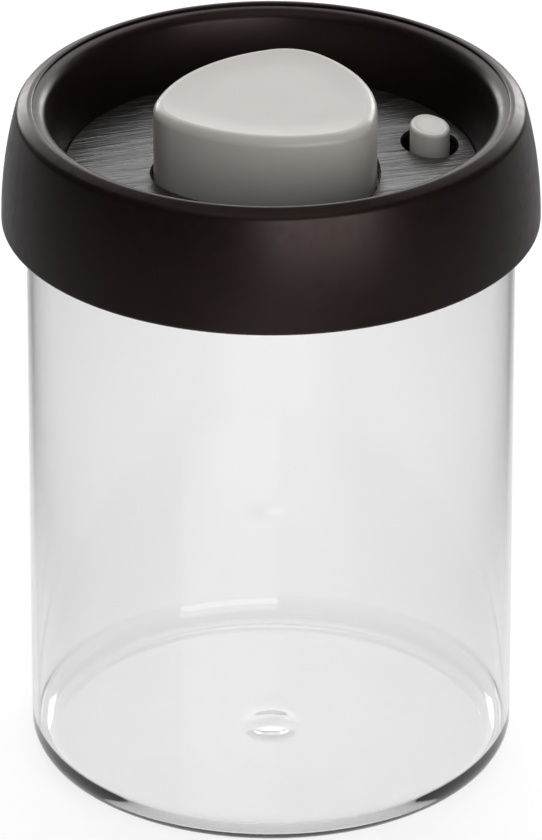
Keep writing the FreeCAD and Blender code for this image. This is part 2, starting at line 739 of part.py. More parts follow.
def make_deck_screws():
    body = new_body("deck_screws")
    shank = size.screw_od / 2
    head = size.screw_head_od / 2
    drive = size.drive_od / 2
    straight = deck_top - size.screw_head_edge
    taper_end = straight - (head - shank)
    x = screw_radius
    corners = [
        (x, deck_top - size.screw_length),
        (x + shank, deck_top - size.screw_length),
        (x + shank, taper_end),
        (x + head, straight),
        (x + head, deck_top),
        (x + drive, deck_top),
        (x + drive, deck_top - size.drive_depth),
        (x, deck_top - size.drive_depth),
    ]
    sketch = draw(body, "screw_profile", "XZ_Plane", [corners])
    axis = sketch.addGeometry(Part.LineSegment(
        FreeCAD.Vector(x.value, 0, 0), FreeCAD.Vector(x.value, deck_top.value, 0)), True)
    pin(sketch, axis, 1, "X", x)
    pin(sketch, axis, 1, "Y", NIL)
    pin(sketch, axis, 2, "X", x)
    pin(sketch, axis, 2, "Y", deck_top)
    screw = body.newObject("PartDesign::Revolution", "screw_turned")
    screw.Profile = sketch
    screw.ReferenceAxis = (sketch, ["Axis0"])
    screw.Angle = 360
    check_step(screw)
    around = body.newObject("PartDesign::PolarPattern", "screw_ring")
    around.Originals = [screw]
    upright = next(item for item in body.Origin.OriginFeatures if item.Role == "Z_Axis")
    around.Axis = (upright, [""])
    around.Angle = 360
    around.Occurrences = int(size.screw_count.value)
    body.Tip = around
    check_step(around)
    body.Placement = FreeCAD.Placement(FreeCAD.Vector(0, 0, 0), FreeCAD.Rotation(
        FreeCAD.Vector(0, 0, 1), size.screw_turn_angle.value))
    body.setExpression("Placement.Rotation.Angle", size.screw_turn_angle.text)


def make_pump_cylinder():
    body = new_body("pump_cylinder")
    well_end = well_floor_z - size.well_floor
    end = bore_floor - size.cylinder_floor
    pad(body, "well_block", [triangle(well_outer)], well_end, deck_under)
    pad(body, "collar", [triangle(collar_grow)], collar_under, deck_under)
    cut(body, "well_hollow", [triangle(well_grow)], well_floor_z, deck_under)
    pad(body, "cylinder_block", [(NIL, NIL, cylinder_outer)], end, cylinder_top)
    cut(body, "cylinder_bore", [(NIL, NIL, bore_radius)], bore_floor, cylinder_top)
    spots = ring_of(size.flow_count, NIL, flow_radius)
    holes = [(x, y, flow_hole) for x, y in spots]
    holes.append((NIL, NIL, valve_hole))
    cut(body, "valve_holes", holes, end - size.overrun, bore_floor)


def make_cylinder_seal():
    body = new_body("cylinder_seal")
    low = collar_under - size.cord_height
    loops = [triangle(cord_grow + size.cord_width), triangle(cord_grow)]
    pad(body, "seal_cord", loops, low, collar_under)


def make_inlet_valve():
    body = new_body("inlet_valve")
    floor_under = bore_floor - size.cylinder_floor
    top = bore_floor + size.valve_rise
    revolve(body, "valve_turned", [
        (NIL, floor_under - size.valve_bulb_height),
        (valve_stem, floor_under - size.valve_bulb_height),
        (valve_bulb, floor_under),
        (valve_stem, floor_under),
        (valve_stem, bore_floor),
        (valve_outer, bore_floor),
        (valve_outer, bore_floor + size.valve_edge),
        (valve_bulb, top),
        (NIL, top),
    ])


def make_pump_button():
    body = new_body("pump_button")
    pad(body, "button_block", [triangle(NIL)], lip_under, pump_top)
    fillet_at(body, "button_edge", pump_top, size.pump_round)
    loft(body, "button_dish", "SubtractiveLoft", [
        (triangle(NIL - size.pump_round - size.pump_dish_lean), pump_top - size.pump_dish_depth),
        (triangle(NIL - size.pump_round), pump_top),
    ])
    pad(body, "stop_lip", [triangle(size.pump_lip_width)], lip_under, lip_top)
    cut(body, "button_hollow", [triangle(NIL - size.pump_wall)],
        lip_under - size.overrun, pump_ceiling_z)
    pad(body, "spring_ring", [(NIL, NIL, seat_ring), (NIL, NIL, seat_ring - size.seat_ring_wall)],
        pump_ceiling_z - size.seat_ring_height, pump_ceiling_z)
    pad(body, "pump_stem", [(NIL, NIL, size.stem_od / 2)], stem_end, pump_ceiling_z)
    pilot = size.piston_screw_od / 2 + size.screw_ease
    cut(body, "stem_pilot", [(NIL, NIL, pilot)], stem_end - size.overrun,
        stem_end + size.piston_screw_grip + size.pilot_spare)


def make_piston():
    hole = size.piston_screw_od / 2 + size.screw_ease
    plate = bore_radius - size.piston_head_gap
    body = new_body("piston_head")
    pad(body, "piston_plate", [(NIL, NIL, plate), (NIL, NIL, hole)], plate_under, stem_end)

    body = new_body("piston_cup")
    lip = bore_radius - size.bore_gap
    heel = lip - size.cup_flare
    top = cup_under + size.cup_height
    revolve(body, "cup_turned", [
        (hole, cup_under),
        (heel, cup_under),
        (lip, top),
        (lip - size.cup_lip_wall, top),
        (heel - size.cup_lip_wall, plate_under),
        (hole, plate_under),
    ])

    body = new_body("cup_washer")
    pad(body, "washer_plate", [(NIL, NIL, bore_radius - size.washer_gap), (NIL, NIL, hole)],
        washer_under, cup_under)

    body = new_body("piston_screw")
    shank = size.piston_screw_od / 2
    head = size.piston_screw_head_od / 2
    drive = size.drive_od / 2
    revolve(body, "piston_screw_turned", [
        (NIL, screw_head_under + size.drive_depth),
        (drive, screw_head_under + size.drive_depth),
        (drive, screw_head_under),
        (head, screw_head_under),
        (head, washer_under),
        (shank, washer_under),
        (shank, stem_end + size.piston_screw_grip),
        (NIL, stem_end + size.piston_screw_grip),
    ])


def make_release():
    body = new_body("release_button")
    pad(body, "oval_head", [oval(NIL, NIL)], wing_under, release_top)
    fillet_at(body, "head_edge", release_top, size.release_round)
    dish = shank_radius - size.release_dish_edge
    depth = size.release_dish_depth
    revolve(body, "head_dish", [
        (NIL, release_top - depth),
        (dish, release_top, (square(dish) + square(depth)) / (2 * depth), 1),
        (dish, release_top + size.overrun),
        (NIL, release_top + size.overrun),
    ], "Groove")
    pad(body, "shank", [(NIL, NIL, shank_radius)], shank_end, wing_under)
    cut(body, "spring_bore", [(NIL, NIL, cavity_radius)],
        shank_end - size.overrun, cavity_top)
    stem = release_stem
    cut(body, "stem_hole", [(NIL, NIL, stem + size.stem_ease)], cavity_top - size.overrun, grip_top)
    place_at(body, release_place)

    body = new_body("release_stem")
    barb = stem + size.barb_reach
    revolve(body, "stem_turned", [
        (NIL, barb_end),
        (stem, barb_end),
        (barb, seal_under),
        (stem, seal_under),
        (stem, grip_top),
        (NIL, grip_top),
    ])
    place_at(body, release_place)

    body = new_body("release_seal")
    pad(body, "seal_ring", [(NIL, NIL, port_radius + size.seal_reach), (NIL, NIL, stem + size.stem_ease)],
        seal_under, guide_end)
    place_at(body, release_place)


def coil_points(radius, wire, turns, low, high):
    """Points and directions at every quarter turn of a spring with closed end turns."""
    closed = wire + size.closed_coil_gap.value
    steps = round(turns * 4)
    open_rise = (high - low - 2 * closed) / (turns - 2)
    heights = []
    for step in range(steps + 1):
        turn = step / 4
        left = turns - turn
        if turn < 1:
            heights.append(low + closed * turn)
        elif left < 1:
            heights.append(high - closed * left)
        else:
            heights.append(low + closed + open_rise * (turn - 1))
    points = []
    for step, height in enumerate(heights):
        angle = step * math.pi / 2
        before = heights[max(step - 1, 0)]
        after = heights[min(step + 1, steps)]
        span = (min(step + 1, steps) - max(step - 1, 0)) * math.pi / 2
        point = FreeCAD.Vector(radius * math.cos(angle), radius * math.sin(angle), height)
        way = FreeCAD.Vector(-radius * math.sin(angle), radius * math.cos(angle),
                             (after - before) / span)
        points.append((point, way.normalize()))
    return points


def arc_from(start, way, end):
    """The arc that leaves start along way and passes through end."""
    chord = end - start
    along = FreeCAD.Vector(chord).normalize()
    bend = math.acos(min(max(way.dot(along), -1), 1))
    out = (way - along * way.dot(along)).normalize()
    middle = (start + end) / 2 + out * (chord.Length / 2 * math.tan(bend / 2))
    return Part.Arc(start, middle, end).toShape()


def make_spring(label, radius, wire_size, turns, low, high, x):
    """One unbroken tube swept along pairs of arcs, a pair for each quarter turn."""
    wire = wire_size.value
    start = low.value + wire / 2 + size.spring_seat_gap.value
    finish = high.value - wire / 2 - size.spring_seat_gap.value
    knots = coil_points(radius.value, wire, turns.value, start, finish)
    edges = []
    for (first, way), (last, way_out) in zip(knots, knots[1:]):
        span = last - first
        lean = span.dot(way + way_out)
        spread = 2 * (1 - way.dot(way_out))
        reach = (math.sqrt(lean ** 2 + spread * span.dot(span)) - lean) / spread
        middle = (first + last + (way - way_out) * reach) / 2
        edges.append(arc_from(first, way, middle))
        edges.append(arc_from(last, way_out * -1, middle))
    path = Part.Wire(Part.__sortEdges__(edges))
    point, way = knots[0]
    ring = Part.Wire(Part.Circle(point, way, wire / 2).toShape())
    sweep = Part.BRepOffsetAPI.MakePipeShell(path)
    sweep.add(ring)
    sweep.build()
    sweep.makeSolid()
    spring = doc.addObject("Part::Feature", label)
    spring.Shape = sweep.shape()
    spring.Label = label
    spring.Placement = FreeCAD.Placement(FreeCAD.Vector(x.value, 0, 0), FreeCAD.Rotation())
    bodies.append(spring)
    trail = []
    for edge in path.OrderedEdges:
        reach = edge.LastParameter - edge.FirstParameter
        spots = [edge.valueAt(edge.FirstParameter + reach * step / 4) for step in range(5)]
        if (spots[0] - (trail[-1] if trail else knots[0][0])).Length > wire:
            spots.reverse()
        trail.extend(spots)
    apart = round(len(trail) / turns.value * 0.6)
    least = min(
        (one - two).Length - wire
        for index, one in enumerate(trail)
        for two in trail[index + apart:]
    )
    print(f"{label}: least gap to itself {least:.2f} mm")


make_glass_jar()
make_lid_shell()
make_inlay()
make_lid_base()
make_jar_gasket()
make_deck_screws()
make_pump_cylinder()
make_cylinder_seal()
make_inlet_valve()
make_pump_button()
make_piston()
make_release()
make_spring("pump_spring", coil_radius, size.pump_wire, size.pump_turns,
            well_floor_z, pump_ceiling_z, NIL)
make_spring("release_spring", release_coil, size.release_wire, size.release_turns,
            guide_floor_z, cavity_top, release_place)
doc.recompute()

# Every piece is checked before any file is written.
for item in doc.Objects:
    if "Invalid" in item.State or "Error" in item.State:
        raise RuntimeError(f"{item.Label} is {item.State}")
for body in bodies:
    if body.Shape.isNull() or not body.Shape.isValid():
        raise RuntimeError(f"{body.Label} has no valid solid")

os.makedirs("parts", exist_ok=True)
for body in bodies:
    body.Shape.exportStep(f"parts/{body.Label}.step")
    box = body.Shape.BoundBox
    print(f"{body.Label}: {len(body.Shape.Solids)} solid, {body.Shape.Volume:.1f} mm3, "
          f"z {box.ZMin:.2f} to {box.ZMax:.2f}, "
          f"{box.XLength:.2f} x {box.YLength:.2f} x {box.ZLength:.2f} mm")
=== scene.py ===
# %% [markdown]
# # A vacuum seal canister
# This lesson dresses a glass food canister whose lid pumps the air out of the jar. The solid parts
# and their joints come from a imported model, which is loaded first and never moved. The scene is in
# metres, with Z up, the jar's foot on Z = 0, and +X pointing at the release button.

# %% Load the frame
import math

import bmesh
import bpy
from mathutils import Matrix, Vector


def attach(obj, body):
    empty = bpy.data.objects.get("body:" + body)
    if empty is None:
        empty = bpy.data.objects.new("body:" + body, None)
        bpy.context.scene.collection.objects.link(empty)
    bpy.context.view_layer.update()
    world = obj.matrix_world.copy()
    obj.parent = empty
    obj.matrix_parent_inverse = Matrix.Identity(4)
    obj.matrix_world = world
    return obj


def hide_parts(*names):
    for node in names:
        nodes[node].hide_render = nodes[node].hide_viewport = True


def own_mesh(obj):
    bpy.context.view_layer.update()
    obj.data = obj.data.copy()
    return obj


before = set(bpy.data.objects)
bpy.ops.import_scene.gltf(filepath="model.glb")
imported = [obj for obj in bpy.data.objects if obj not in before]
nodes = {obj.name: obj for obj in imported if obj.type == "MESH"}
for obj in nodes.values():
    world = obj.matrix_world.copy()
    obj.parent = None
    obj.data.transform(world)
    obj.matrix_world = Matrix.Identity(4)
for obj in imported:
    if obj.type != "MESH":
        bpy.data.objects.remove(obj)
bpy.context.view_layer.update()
MM = 0.001

# %% [markdown]
# ## The camera
# The photograph looks down on the dish at about 27 degrees with a long lens, so upright lines nearly
# stay parallel. The aim, distance and lens were solved from the outlines of glass and lid. Camera and
# lamps are placed alike: by a turn about the jar, a rise above the table and a distance from the aim.

# %% Camera
AIM = Vector((0, 0, 0.0731))
CAMERA_TURN = math.radians(-17.3)
CAMERA_RISE = math.radians(27.05)
CAMERA_DISTANCE = 1.880
CAMERA_LENS = 390.6
SENSOR_WIDTH = 36
FAR_LIMIT = 50


def place_round_jar(name, data, turn, rise, distance):
    """Add an object that looks at the jar from a turn and a rise in radians."""
    thing = bpy.data.objects.new(name, data)
    bpy.context.scene.collection.objects.link(thing)
    flat = math.cos(rise)
    away = Vector((math.sin(turn) * flat, -math.cos(turn) * flat, math.sin(rise)))
    thing.location = AIM + away * distance
    thing.rotation_euler = (-away).to_track_quat("-Z", "Y").to_euler()
    return thing


camera_data = bpy.data.cameras.new("camera")
camera_data.lens = CAMERA_LENS
camera_data.sensor_width = SENSOR_WIDTH
camera_data.clip_end = FAR_LIMIT
camera = place_round_jar("camera", camera_data, CAMERA_TURN, CAMERA_RISE, CAMERA_DISTANCE)
bpy.context.scene.camera = camera
print("camera at", [round(v, 3) for v in camera.location])

# %% [markdown]
# ## Finishes
# Each finish is a small node tree round one Principled shader. One helper makes the tree, another adds
# a noise that reads Object coordinates in metres, so that a scale of 1000 means grains of about 1 mm.
# The others turn such a pattern into a value, a colour or a relief. Painted images could do the same,
# but a computed pattern needs no file and no unwrapping.

# %% Helpers for patterns
def new_finish(name):
    """A material with its node tree and its Principled shader."""
    material = bpy.data.materials.new(name)
    material.use_nodes = True
    tree = material.node_tree
    return material, tree, tree.nodes["Principled BSDF"]


def noise(tree, scale, detail=3.0, stretch=(1, 1, 1)):
    """Noise in the object's own metres; stretch scales the pattern along each axis."""
    place = tree.nodes.new("ShaderNodeTexCoord")
    turn = tree.nodes.new("ShaderNodeMapping")
    turn.inputs["Scale"].default_value = stretch
    pattern = tree.nodes.new("ShaderNodeTexNoise")
    pattern.inputs["Scale"].default_value = scale
    pattern.inputs["Detail"].default_value = detail
    tree.links.new(place.outputs["Object"], turn.inputs["Vector"])
    tree.links.new(turn.outputs["Vector"], pattern.inputs["Vector"])
    return pattern.outputs["Fac"]


# %% Helpers for values, colours and relief
def between(tree, factor, low, high, spread=(0.35, 0.65), smooth=False):
    """Turn a pattern into a value that runs from low to high, with smooth ends if asked."""
    fit = tree.nodes.new("ShaderNodeMapRange")
    fit.interpolation_type = "SMOOTHSTEP" if smooth else "LINEAR"
    fit.inputs["From Min"].default_value = spread[0]
    fit.inputs["From Max"].default_value = spread[1]
    fit.inputs["To Min"].default_value = low
    fit.inputs["To Max"].default_value = high
    tree.links.new(factor, fit.inputs["Value"])
    return fit.outputs["Result"]


def tint(tree, factor, dark, light, spread=(0.35, 0.65)):
    """Turn a pattern into a colour between two colours."""
    ramp = tree.nodes.new("ShaderNodeValToRGB")
    ramp.color_ramp.elements[0].position = spread[0]
    ramp.color_ramp.elements[0].color = (*dark, 1)
    ramp.color_ramp.elements[1].position = spread[1]
    ramp.color_ramp.elements[1].color = (*light, 1)
    tree.links.new(factor, ramp.inputs["Fac"])
    return ramp.outputs["Color"]


def bump(tree, shader, height, depth):
    """Give the shader a relief of that depth in metres."""
    relief = tree.nodes.new("ShaderNodeBump")
    relief.inputs["Distance"].default_value = depth
    relief.inputs["Strength"].default_value = 1.0
    tree.links.new(height, relief.inputs["Height"])
    tree.links.new(relief.outputs["Normal"], shader.inputs["Normal"])


# %% [markdown]
# ## Plastics
# The outer lid is a dark satin moulding, the buttons are pale ones, and the parts inside are plain
# plastic or silicone. One flat colour would look like paint, so a helper gives every moulding two close
# shades, a slightly uneven gloss and a fine grain. The dark lid mirrors light with a warm tint.

# %% Plastic finishes
SHADE_SCALE = 120
GLOSS_SCALE = 400
GLOSS_SPREAD = 0.03
GRAIN_DEPTH = 0.01 * MM


def moulded(name, dark, light, roughness, grain=1500, gleam=0.5, sheen=(1, 1, 1)):
    """A moulded plastic: two close shades, uneven gloss of one sheen, and a fine grain."""
    material, tree, shader = new_finish(name)
    shader.inputs["Specular IOR Level"].default_value = gleam
    shader.inputs["Specular Tint"].default_value = (*sheen, 1)
    shade = tint(tree, noise(tree, SHADE_SCALE), dark, light)
    tree.links.new(shade, shader.inputs["Base Color"])
    gloss = between(tree, noise(tree, GLOSS_SCALE), roughness - GLOSS_SPREAD, roughness + GLOSS_SPREAD)
    tree.links.new(gloss, shader.inputs["Roughness"])
    bump(tree, shader, noise(tree, grain, detail=2.0), GRAIN_DEPTH)
    return material


lid_satin = moulded("lid_satin", (0.0052, 0.0027, 0.0023), (0.0064, 0.0034, 0.0029), 0.33,
                    grain=2500, gleam=0.27, sheen=(1, 0.78, 0.75))
base_satin = moulded("base_satin", (0.010, 0.008, 0.0075), (0.013, 0.011, 0.010), 0.42, gleam=0.3)
button_satin = moulded("button_satin", (0.507, 0.484, 0.452), (0.521, 0.498, 0.465), 0.34, gleam=0.4)
# The release button is the pump button's plastic. It is drawn paler, as painted light that makes up for
# the shade it sits in low in the dish.
release_satin_painted_light = moulded("release_satin_painted_light", (0.690, 0.670, 0.628), (0.705, 0.685, 0.643), 0.34,
                        gleam=0.4)
inner_satin = moulded("inner_satin", (0.480, 0.480, 0.470), (0.520, 0.520, 0.510), 0.45)
silicone = moulded("silicone", (0.600, 0.600, 0.580), (0.640, 0.640, 0.620), 0.55, grain=900)
adhesive = moulded("adhesive", (0.400, 0.400, 0.380), (0.460, 0.460, 0.440), 0.60, grain=3000)
print("plastic finishes made")

# %% [markdown]
# ## Metal
# Screws and springs are drawn steel. Fine streaks along the part come from a noise that is much
# denser across than along, which is simpler than a directional gloss and enough for such small parts.

# %% Metal finish
steel, tree, shader = new_finish("drawn_steel")
streaks = noise(tree, 60, detail=4.0, stretch=(20, 20, 1))
shade = tint(tree, streaks, (0.50, 0.50, 0.51), (0.62, 0.62, 0.63))
tree.links.new(shade, shader.inputs["Base Color"])
tree.links.new(between(tree, streaks, 0.22, 0.36), shader.inputs["Roughness"])
shader.inputs["Metallic"].default_value = 1.0
print("metal finish made")

# %% [markdown]
# ## Glass
# Clear glass bends light at every face and swallows a little on the way through. The swallowing is a
# volume: each way through the wall dims the light slightly, so that the jar reads as a pale grey body.
# A grey surface would dim every face alike, however much glass lies behind it.

# %% Glass finish
GLASS_BEND = 1.47
GLASS_HAZE = 66

glass, tree, shader = new_finish("jar_glass")
shader.inputs["Base Color"].default_value = (0.985, 0.985, 0.985, 1)
shader.inputs["Transmission Weight"].default_value = 1.0
shader.inputs["IOR"].default_value = GLASS_BEND
tree.links.new(between(tree, noise(tree, 40), 0.0, 0.01), shader.inputs["Roughness"])
haze = tree.nodes.new("ShaderNodeVolumeAbsorption")
haze.inputs["Color"].default_value = (0, 0, 0, 1)
haze.inputs["Density"].default_value = GLASS_HAZE
tree.links.new(haze.outputs["Volume"], tree.nodes["Material Output"].inputs["Volume"])
print("glass finish made")

# %% [markdown]
# ## Wood grain
# The disc is a dark moulding embossed like brushed timber. Its fibres run along X, towards the release
# button: a noise stretched along X gives the fibres, a slower one the bands, and both raise the relief.
# Fibres carved into the mesh would need a great many faces for furrows this shallow.

# %% Wood finish
FIBRE_SHARE = 0.65
BAND_SHARE = 0.35
EMBOSS_DEPTH = 0.25 * MM


def combine(tree, operation, first, second=0):
    """A math node on two values, each a number or another node's output."""
    node = tree.nodes.new("ShaderNodeMath")
    node.operation = operation
    for socket, value in zip(node.inputs, (first, second)):
        if isinstance(value, (int, float)):
            socket.default_value = value
        else:
            tree.links.new(value, socket)
    return node.outputs["Value"]


wood, tree, shader = new_finish("embossed_wood")
fibre = noise(tree, 2000, detail=2.0, stretch=(0.06, 1, 1))
band = noise(tree, 500, stretch=(0.10, 1, 1))
relief = combine(tree, "ADD", combine(tree, "MULTIPLY", fibre, FIBRE_SHARE),
                 between(tree, band, 0.0, BAND_SHARE, (0.3, 0.7)))
shade = tint(tree, relief, (0.004, 0.003, 0.002), (0.040, 0.034, 0.031), (0.42, 0.68))
tree.links.new(shade, shader.inputs["Base Color"])
tree.links.new(between(tree, relief, 0.36, 0.24, (0.35, 0.7)), shader.inputs["Roughness"])
bump(tree, shader, relief, EMBOSS_DEPTH)
shader.inputs["Specular IOR Level"].default_value = 0.9
print("wood finish made")

# %% [markdown]
# ## Making pieces
# A new piece is drawn in millimetres and scaled once. Profiles are drawn point by point in the XZ
# plane: a straight step adds a vertex, and an arc spins the last vertex about the arc's centre. The same
# spin then carries the whole profile round the jar's axis. Cylinders with modifiers would be quicker,
# but a drawn profile has each radius and each round where the moulding has it.

# %% Helpers for profiles
UP = (0, 0, 1)
TURN_STEPS = 192
MERGE_GAP = 0.0005


def step_to(bm, last, *points):
    """Straight edges from the last vertex through (x, z) points; returns the new last vertex."""
    for x, z in points:
        made = bm.verts.new((x, 0, z))
        bm.edges.new((last, made))
        last = made
    return last


def arc_about(bm, last, centre, degrees, steps, axis=(0, -1, 0)):
    """Spin the last vertex about a centre; positive is counter-clockwise in the drawing plane."""
    made = bmesh.ops.spin(bm, geom=[last], cent=centre, axis=axis, angle=math.radians(degrees),
                          steps=steps, use_merge=False)
    return next(item for item in made["geom_last"] if isinstance(item, bmesh.types.BMVert))


def spin_round(bm):
    """Carry the drawn profile all the way round the Z axis."""
    bmesh.ops.spin(bm, geom=bm.verts[:] + bm.edges[:], cent=(0, 0, 0), axis=UP, angle=math.tau,
                   steps=TURN_STEPS, use_merge=True)
    bmesh.ops.remove_doubles(bm, verts=bm.verts[:], dist=MERGE_GAP)
    bmesh.ops.recalc_face_normals(bm, faces=bm.faces[:])


# %% Helpers for finished pieces
def to_object(bm, name, material):
    """Turn a drawing into an object with one finish."""
    mesh = bpy.data.meshes.new(name)
    bm.to_mesh(mesh)
    bm.free()
    mesh.materials.append(material)
    thing = bpy.data.objects.new(name, mesh)
    bpy.context.scene.collection.objects.link(thing)
    return thing


def finish_piece(bm, name, material, body, node, crease=35):
    """Scale to metres, smooth, dress, attach to its body and hide the CAD node it is drawn in place of.
    """
    bmesh.ops.scale(bm, vec=(MM, MM, MM), verts=bm.verts[:])
    piece = to_object(bm, name, material)
    piece.data.shade_smooth()
    piece.data.set_sharp_from_angle(angle=math.radians(crease))
    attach(piece, body)
    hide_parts(node)
    print(name, "has", len(piece.data.polygons), "faces")
    return piece


# %% [markdown]
# ## The glass jar
# A plain tube of 100 mm glass with a rounded foot, a shallow hollow under it, a fire-polished rim,
# faint rings in the floor and a pip in its middle. One profile and one spin make it, inside and out. A
# narrow ring at each end of a long wall keeps the smoothing from bending the wall's look near its
# rounded ends. The wall is drawn thinner between rim and foot, as the fine edge line in the photograph
# shows.

# %% Glass jar
JAR_RADIUS, JAR_TOP = 50, 125.4
NECK_RADIUS, WALL_RADIUS = 47.8, 48.8
FOOT_ROUND, INNER_ROUND, RIM_ROUND = 5.5, 5.0, 0.7
FLOOR_HEIGHT, HOLLOW_HEIGHT, HOLLOW_EDGE = 2.0, 0.16, 32
RING = 0.3
HOLLOW = ((8, 0.14), (16, 0.09), (24, 0.03), (HOLLOW_EDGE, 0))
NECK = ((WALL_RADIUS, 117.0), (WALL_RADIUS, 116.5))
FLOOR_RINGS = ((42.6, 2.10), (41.2, 1.92), (39.6, 2.08), (38.0, 1.92), (36.2, 2.09), (34.4, 1.93),
               (32.4, 2.08), (30.4, 1.95), (28.0, 2.04), (25.0, 2.0), (20.0, 2.0))
PIP = ((10.0, 1.97), (7.6, 1.86), (6.0, 1.9), (4.6, 2.2), (3.2, 2.6), (1.6, 2.85), (0, 2.92))

foot_edge = JAR_RADIUS - FOOT_ROUND
rim_start = JAR_TOP - RIM_ROUND
rim_inside = NECK_RADIUS + RIM_ROUND
corner_top = FLOOR_HEIGHT + INNER_ROUND

bm = bmesh.new()
last = bm.verts.new((0, 0, HOLLOW_HEIGHT))
last = step_to(bm, last, *HOLLOW, (HOLLOW_EDGE + RING, 0), (foot_edge - RING, 0), (foot_edge, 0))
last = arc_about(bm, last, (foot_edge, 0, FOOT_ROUND), 90, 16)
last = step_to(bm, last, (JAR_RADIUS, FOOT_ROUND + RING), (JAR_RADIUS, rim_start - RING),
               (JAR_RADIUS, rim_start))
last = arc_about(bm, last, (JAR_RADIUS - RIM_ROUND, 0, rim_start), 90, 8)
last = step_to(bm, last, (rim_inside, JAR_TOP))
last = arc_about(bm, last, (rim_inside, 0, rim_start), 90, 8)
last = step_to(bm, last, (NECK_RADIUS, rim_start - RING), *NECK, (WALL_RADIUS, corner_top + RING),
               (WALL_RADIUS, corner_top))
last = arc_about(bm, last, (WALL_RADIUS - INNER_ROUND, 0, corner_top), -90, 16)
step_to(bm, last, *FLOOR_RINGS, *PIP)
spin_round(bm)
finish_piece(bm, "jar_glass", glass, "jar", "glass_jar")

# %% [markdown]
# ## The outlines of the two buttons
# The pump button is a rounded triangle of constant width: small arcs about three corners, and large
# arcs about the corners that face them. The release button is an oval of four arcs. Both outlines can
# grow, so that the holes in deck and disc follow the buttons. A plate with such holes is filled between
# its outlines and thickened, because holes cut with booleans leave slivers that shade badly.

# %% Outline of the pump button
CORNER_SPACING = 22.4
CORNER_RADIUS = 11.5
CLOSE_GAP = 0.001


def polar(radius, degrees, height):
    """A point at a distance and a direction from the Z axis."""
    turn = math.radians(degrees)
    return Vector((radius * math.cos(turn), radius * math.sin(turn), height))


def button_outline(bm, grow, height, steps=14):
    """The pump button's rounded triangle, grown outwards, as a closed loop of edges."""
    reach = CORNER_SPACING / math.sqrt(3)
    centres = [polar(reach, degrees, height) for degrees in (180, 300, 60)]
    start = bm.verts.new(centres[0] + polar(CORNER_RADIUS + grow, 150, 0))
    last = start
    for index in range(3):
        last = arc_about(bm, last, centres[index], 60, steps, UP)
        last = arc_about(bm, last, centres[index - 1], 60, steps, UP)
    bmesh.ops.remove_doubles(bm, verts=[start, last], dist=CLOSE_GAP)


# %% Outline of the release button
RELEASE_X = 33.967
OVAL_WIDTH, OVAL_LENGTH, OVAL_END = 3.95, 5.65, 2.75


def oval_outline(bm, grow, height, steps=12):
    """The release button's oval, of given half sizes: two tight ends and two slack sides."""
    rise = OVAL_LENGTH - OVAL_END
    side = (OVAL_WIDTH ** 2 + rise ** 2 - OVAL_END ** 2) / (2 * (OVAL_WIDTH - OVAL_END))
    back = side - OVAL_WIDTH
    lean = math.degrees(math.atan2(rise, back))
    far = (side + grow) / (side - OVAL_END)
    middle = Vector((RELEASE_X, 0, height))
    start = bm.verts.new(middle + Vector((back * far - back, -rise * far, 0)))
    last = start
    for x, y, degrees in ((-back, 0, 2 * lean), (0, rise, 180 - 2 * lean),
                          (back, 0, 2 * lean), (0, -rise, 180 - 2 * lean)):
        last = arc_about(bm, last, middle + Vector((x, y, 0)), degrees, steps, UP)
    bmesh.ops.remove_doubles(bm, verts=[start, last], dist=CLOSE_GAP)


# %% Plate with two holes
PLATE_STEPS = 160


def holed_plate(bm, radius, pump_gap, release_gap, top, thickness):
    """A round plate with a hole for each button; returns the vertices of its lower face."""
    before = set(bm.edges)
    kept = set(bm.verts)
    bmesh.ops.create_circle(bm, cap_ends=False, radius=radius, segments=PLATE_STEPS)
    for vert in set(bm.verts) - kept:
        vert.co.z = top
    button_outline(bm, pump_gap, top)
    oval_outline(bm, release_gap, top)
    edges = [edge for edge in bm.edges if edge not in before]
    filled = bmesh.ops.triangle_fill(bm, use_beauty=True, edges=edges, normal=UP)
    faces = [item for item in filled["geom"] if isinstance(item, bmesh.types.BMFace)]
    made = bmesh.ops.extrude_face_region(bm, geom=faces, use_keep_orig=True)
    lower = [item for item in made["geom"] if isinstance(item, bmesh.types.BMVert)]
    bmesh.ops.translate(bm, verts=lower, vec=(0, 0, -thickness))
    return lower


# %% [markdown]
# ## The outer lid
# The lid is a thin moulding: bowed outer wall, sloping crest with a small ridge, a fine step, a rolled
# edge and the dish inside. It is one turned profile. The deck under the disc is a plate with two holes,
# made after it, and the hole for the release button narrows downwards.

# %% Turned profile of the lid
DISH_RADIUS, DISH_WALL = 42.2, 2.0
DECK_LOW, DISC_TOP = 128.4, 131.6
CAVITY_TOP = ((46.87, 140.35), (50.73, 140.35))
INNER_BOW_X, INNER_BOW_TURN = -35, -13.036
EDGE_LOW, EDGE_INNER, EDGE_OUTER = 119.7, 53, 54.19
BOW_X, BOW_Z, BOW_RADIUS = -35.01, 120.5, 90
SHOULDER_Z, SHOULDER_ROUND, CREST_SLOPE = 142.75, 2.2, 28.8
CREST_END = (49.63, 145.426)
RIDGE_CENTRE, RIDGE_TURN = (49.15, 0, 144.55), 69.3
ROLL_X, ROLL_Z, ROLL_RADIUS, ROLL_TURN = 48.5, 141.95, 3, 73

shoulder_rise = SHOULDER_Z - BOW_Z
shoulder_reach = BOW_RADIUS - SHOULDER_ROUND
shoulder_x = BOW_X + math.sqrt(shoulder_reach ** 2 - shoulder_rise ** 2)
bow_turn = math.degrees(math.asin(shoulder_rise / shoulder_reach))

